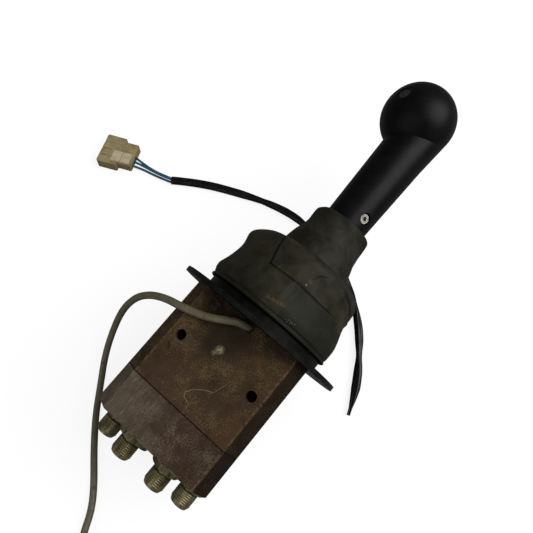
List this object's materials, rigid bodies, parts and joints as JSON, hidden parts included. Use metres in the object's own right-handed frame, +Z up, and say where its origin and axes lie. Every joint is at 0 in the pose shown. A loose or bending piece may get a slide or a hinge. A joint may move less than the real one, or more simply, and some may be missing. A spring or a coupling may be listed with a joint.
{
  "type": "hydraulic pilot joystick valve",
  "caption": "Hydraulic pilot valve with a knobbed joystick lever, rubber boot, flange, cast body, port adapters and wiring, lying on its back.",
  "frame": {"origin": "the middle of the valve's footprint on the table, cords left out", "axes": "+X along the valve's length, from the ports towards the knob; +Z up; +Y to the left-hand ports' side"},
  "size_m": [0.4417, 0.3311, 0.1361],
  "materials": {
    "casing_iron": "weathered rust-brown cast iron",
    "block_iron": "machined cast iron with a thin rust bloom",
    "seal_rubber": "black nitrile rings",
    "screw_steel": "blackened alloy steel",
    "adapter_zinc": "yellow-passivated zinc plate",
    "plate_black": "satin black paint",
    "boot_rubber": "dusty moulded rubber",
    "mechanism_steel": "turned and ground steel",
    "plug_brass": "machined brass",
    "spring_steel": "oiled spring wire",
    "knob_black": "satin moulded black nylon",
    "grip_screw_zinc": "bright zinc plate",
    "bezel_black": "polished black plastic",
    "button_brown": "dark brown-grey plastic",
    "sleeve_vinyl": "glossy soft black vinyl",
    "wire_teal": "teal-blue wire insulation",
    "connector_cream": "aged cream nylon",
    "connector_pale": "pale nylon",
    "cable_grey": "dirty warm grey cable jacket",
    "plug_grey": "dark grey plastic"
  },
  "bodies": {
    "base": {"casing": "casing_iron", "port_block": "block_iron", "block_seals": "seal_rubber", "adapter_seals": "seal_rubber", "rod_seals": "seal_rubber", "guide_o_rings": "seal_rubber", "block_screws": "screw_steel", "plate_screws": "screw_steel", "port_adapters": "adapter_zinc", "mounting_plate": "plate_black", "boot": "boot_rubber", "boot_grommet": "boot_rubber", "cable_grommet": "boot_rubber", "lower_yoke": "mechanism_steel", "guide_plugs": "plug_brass", "harness_sleeve": "sleeve_vinyl", "harness_tail": "sleeve_vinyl", "harness_joint": "sleeve_vinyl", "wire_1": "wire_teal", "wire_2": "wire_teal", "wire_3": "wire_teal", "connector_shell": "connector_cream", "connector_lock": "connector_pale", "signal_cable": "cable_grey", "cable_coil": "cable_grey", "cable_plug": "plug_grey"},
    "gimbal": {"joint_cross": "mechanism_steel", "joint_pins": "mechanism_steel"},
    "lever": {"upper_yoke": "mechanism_steel", "cam_disc": "mechanism_steel", "lock_nut": "mechanism_steel", "lever_rod": "mechanism_steel", "knob": "knob_black", "grip_screw": "grip_screw_zinc", "button_bezel": "bezel_black", "button_switch": "bezel_black"},
    "button": {"push_button": "button_brown", "button_spring": "spring_steel"},
    "rod_right": {"push_rod_right": "mechanism_steel", "spring_seat_right": "mechanism_steel", "balance_spring_right": "spring_steel", "spool_right": "mechanism_steel", "return_spring_right": "spring_steel"},
    "rod_rear": {"push_rod_rear": "mechanism_steel", "spring_seat_rear": "mechanism_steel", "balance_spring_rear": "spring_steel", "spool_rear": "mechanism_steel", "return_spring_rear": "spring_steel"},
    "rod_left": {"push_rod_left": "mechanism_steel", "spring_seat_left": "mechanism_steel", "balance_spring_left": "spring_steel", "spool_left": "mechanism_steel", "return_spring_left": "spring_steel"},
    "rod_front": {"push_rod_front": "mechanism_steel", "spring_seat_front": "mechanism_steel", "balance_spring_front": "spring_steel", "spool_front": "mechanism_steel", "return_spring_front": "spring_steel"}
  },
  "joints": [
    {"name": "lever_side", "type": "hinge", "parent": "base", "child": "gimbal", "pos_m": [-0.03798, 0, 0.066], "axis": [0.2146, 0, -0.9767], "range_deg": [-19, 19], "stiffness_Nm_per_rad": 25, "deforming": ["boot"]},
    {"name": "lever_fore", "type": "hinge", "parent": "gimbal", "child": "lever", "pos_m": [-0.03798, 0, 0.066], "axis": [0, -1, 0], "range_deg": [-19, 19], "stiffness_Nm_per_rad": 25},
    {"name": "button_press", "type": "slide", "parent": "lever", "child": "button", "axis": [0.193, -0.6345, -0.7484], "range_m": [0, 0.002], "stiffness_N_per_m": 600, "springref_m": -0.001, "deforming": ["button_spring"]},
    {"name": "rod_right_slide", "type": "slide", "parent": "base", "child": "rod_right", "axis": [-0.9767, 0, -0.2146], "range_m": [-0.0071, 0.0071], "deforming": ["return_spring_right"]},
    {"name": "rod_rear_slide", "type": "slide", "parent": "base", "child": "rod_rear", "axis": [-0.9767, 0, -0.2146], "range_m": [-0.0071, 0.0071], "deforming": ["return_spring_rear"]},
    {"name": "rod_left_slide", "type": "slide", "parent": "base", "child": "rod_left", "axis": [-0.9767, 0, -0.2146], "range_m": [-0.0071, 0.0071], "deforming": ["return_spring_left"]},
    {"name": "rod_front_slide", "type": "slide", "parent": "base", "child": "rod_front", "axis": [-0.9767, 0, -0.2146], "range_m": [-0.0071, 0.0071], "deforming": ["return_spring_front"]}
  ],
  "couplings": [
    {"joint": "rod_right_slide", "follows": "lever_side", "m_per_rad": 0.0204},
    {"joint": "rod_rear_slide", "follows": "lever_fore", "m_per_rad": -0.0208},
    {"joint": "rod_left_slide", "follows": "lever_side", "m_per_rad": -0.0204},
    {"joint": "rod_front_slide", "follows": "lever_fore", "m_per_rad": 0.0208}
  ]
}
